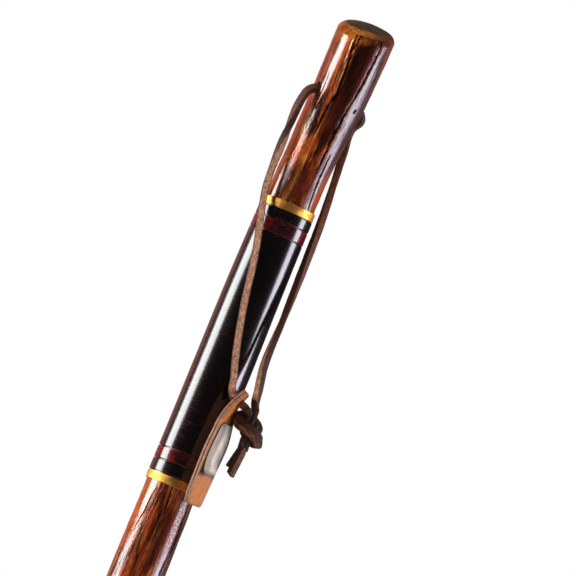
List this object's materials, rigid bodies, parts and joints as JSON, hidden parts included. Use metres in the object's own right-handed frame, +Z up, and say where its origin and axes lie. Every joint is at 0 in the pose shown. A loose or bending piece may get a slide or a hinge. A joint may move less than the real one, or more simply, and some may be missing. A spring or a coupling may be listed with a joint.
{
  "type": "walking staff",
  "caption": "Varnished hardwood walking staff with a slanted top, a thread-wound grip band between brass rings, a suede wrist lanyard with a leather tag, and a rubber foot.",
  "frame": {"origin": "on the ground, in the middle of the rubber foot's sole", "axes": "+Z up along the staff, -Y the front that the slanted top and the lanyard face, +X the right-hand side, where the tag and the knot hang"},
  "size_m": [0.0542, 0.0457, 1.397],
  "materials": {
    "varnished_wood": "red-brown hardwood with bark left in streaks, under a high-gloss clear varnish",
    "brass": "satin",
    "black_thread": "close-wound black thread under a thick glossy clear coat",
    "red_thread": "close-wound dark red thread under a thick glossy clear coat",
    "suede": "brown suede lace with paler cut edges",
    "tag_leather": "smooth tan leather with pinkish raw edges",
    "pale_plate": "blank, pale, satin, with a dark rim",
    "foot_rubber": "matt grey-brown moulded rubber",
    "washer_steel": "plain"
  },
  "bodies": {
    "staff": {"shaft": "varnished_wood", "ring_upper": "brass", "ring_lower": "brass", "winding_top_black": "black_thread", "winding_top_red": "red_thread", "winding_middle_black": "black_thread", "winding_bottom_red": "red_thread", "winding_bottom_black": "black_thread", "ferrule": "foot_rubber", "ferrule_washer": "washer_steel"},
    "lanyard": {"lace_in_hole": "suede", "lace_left": "suede", "lace_right": "suede", "lace_knot": "suede", "lace_tail_long": "suede", "lace_tail_short": "suede"},
    "tag": {"tag_leather_outer": "tag_leather", "tag_leather_inner": "tag_leather", "tag_plate": "pale_plate"}
  },
  "joints": [
    {"name": "lanyard_swing", "type": "hinge", "parent": "staff", "child": "lanyard", "pos_m": [-0.01034, 0, 1.351], "axis": [-0.829, -0.5592, 0], "range_deg": [0, 335]},
    {"name": "tag_swing", "type": "hinge", "parent": "lanyard", "child": "tag", "pos_m": [0.00322, -0.0188, 1.1795], "axis": [-0.928, 0.1229, 0.3517], "range_deg": [-10, 90]}
  ]
}
